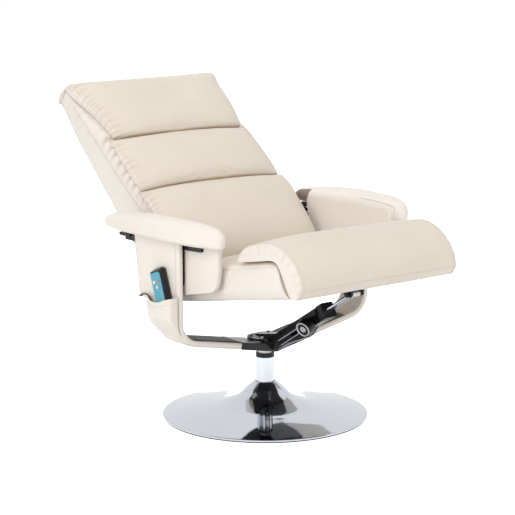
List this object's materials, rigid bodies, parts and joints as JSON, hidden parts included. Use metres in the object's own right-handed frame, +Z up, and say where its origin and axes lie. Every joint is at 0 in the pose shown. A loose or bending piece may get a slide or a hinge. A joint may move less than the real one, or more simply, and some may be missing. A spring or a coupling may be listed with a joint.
{
  "type": "massage recliner",
  "caption": "Padded leather massage recliner on a round swivel base; the seat slides up an inclined guide as the back reclines, with a corded handset in a side pocket.",
  "frame": {"origin": "on the floor under the column, at the centre of the bottom cover", "axes": "+Z up; -Y to the front, where the sitter's knees point; +X to the sitter's left"},
  "size_m": [0.78, 1.0858, 0.886],
  "materials": {
    "seat_leather": "soft grained, matt",
    "side_leather": "soft grained, matt",
    "black_steel": "satin black",
    "mirror_chrome": "polished",
    "plain_steel": "fine brushed",
    "black_plastic": "matt",
    "white_plastic": "matt",
    "handset_black": "gloss",
    "handset_teal": "satin",
    "key_cream": "matt",
    "key_copper": "matt",
    "lamp_amber": "gloss",
    "cord_black": "matt",
    "timber": "bare",
    "dust_cloth": "woven"
  },
  "bodies": {
    "base": {"bottom_cover": "black_plastic", "ballast_plate": "plain_steel", "base_shell": "mirror_chrome", "column_tube": "mirror_chrome", "lower_bush": "white_plastic", "column_cap": "black_plastic", "thrust_washer": "plain_steel"},
    "swivel": {"spindle": "plain_steel", "u_frame": "black_steel", "hub_channel": "black_steel", "hub_plate": "black_steel", "hub_bolts": "plain_steel", "guide_arm": "black_steel", "clamp_rail": "mirror_chrome", "arm_collar": "black_plastic", "right_band_cover": "side_leather", "left_band_cover": "side_leather", "right_side_plate": "black_steel", "left_side_plate": "black_steel", "arm_bolts": "plain_steel", "right_arm_panel": "side_leather", "left_arm_panel": "side_leather", "right_arm_pad": "side_leather", "left_arm_pad": "side_leather", "pivot_bushes": "white_plastic", "handset_pocket": "side_leather", "handset_socket": "black_plastic", "handset_cord": "cord_black"},
    "slider": {"slide_block": "black_plastic", "slide_rods": "mirror_chrome", "rod_head": "plain_steel"},
    "knob": {"lock_knob": "black_plastic", "knob_ring": "mirror_chrome", "knob_stud": "plain_steel"},
    "seat": {"seat_bracket": "black_steel", "seat_frame": "timber", "dust_cover": "dust_cloth", "seat_pad": "seat_leather", "seat_roll": "seat_leather", "seat_motor": "plain_steel", "control_box": "black_plastic"},
    "back": {"back_frame": "black_steel", "pivot_pins": "plain_steel", "back_shell": "side_leather", "back_core": "side_leather", "back_motors": "plain_steel", "lumbar_cushion": "seat_leather", "middle_cushion": "seat_leather", "head_cushion": "seat_leather"},
    "handset": {"handset_case": "handset_black", "handset_face": "handset_teal", "handset_lamps": "lamp_amber"},
    "power_key": {"power_button": "key_cream"},
    "more_key": {"more_button": "key_copper"},
    "less_key": {"less_button": "white_plastic"}
  },
  "joints": [
    {"name": "swivel_turn", "type": "hinge", "parent": "base", "child": "swivel", "pos_m": [0, 0, 0], "axis": [0, 0, 1], "continuous": true},
    {"name": "recline_slide", "type": "slide", "parent": "swivel", "child": "slider", "axis": [0, -0.8526, 0.5225], "range_m": [-0.08, 0]},
    {"name": "seat_tilt", "type": "hinge", "parent": "slider", "child": "seat", "pos_m": [0, -0.36237, 0.40125], "axis": [1, 0, 0], "range_deg": [0, 4.3]},
    {"name": "back_recline", "type": "hinge", "parent": "seat", "child": "back", "pos_m": [0, 0.15032, 0.3589], "axis": [1, 0, 0], "range_deg": [0, 21.2]},
    {"name": "knob_turn", "type": "hinge", "parent": "slider", "child": "knob", "pos_m": [-0.019, -0.20934, 0.29691], "axis": [-0.9104, -0.2162, -0.3528], "range_deg": [0, 180]},
    {"name": "handset_lift", "type": "slide", "parent": "swivel", "child": "handset", "axis": [0, 0.3256, 0.9455], "range_m": [0, 0.06]},
    {"name": "power_press", "type": "slide", "parent": "handset", "child": "power_key", "axis": [1, 0, 0], "range_m": [0, 0.0012], "stiffness_N_per_m": 150},
    {"name": "more_press", "type": "slide", "parent": "handset", "child": "more_key", "axis": [1, 0, 0], "range_m": [0, 0.0012], "stiffness_N_per_m": 150},
    {"name": "less_press", "type": "slide", "parent": "handset", "child": "less_key", "axis": [1, 0, 0], "range_m": [0, 0.0012], "stiffness_N_per_m": 150}
  ],
  "couplings": [
    {"joint": "seat_tilt", "follows": "recline_slide", "rad_per_m": -0.93695},
    {"joint": "back_recline", "follows": "recline_slide", "rad_per_m": -4.6172}
  ]
}
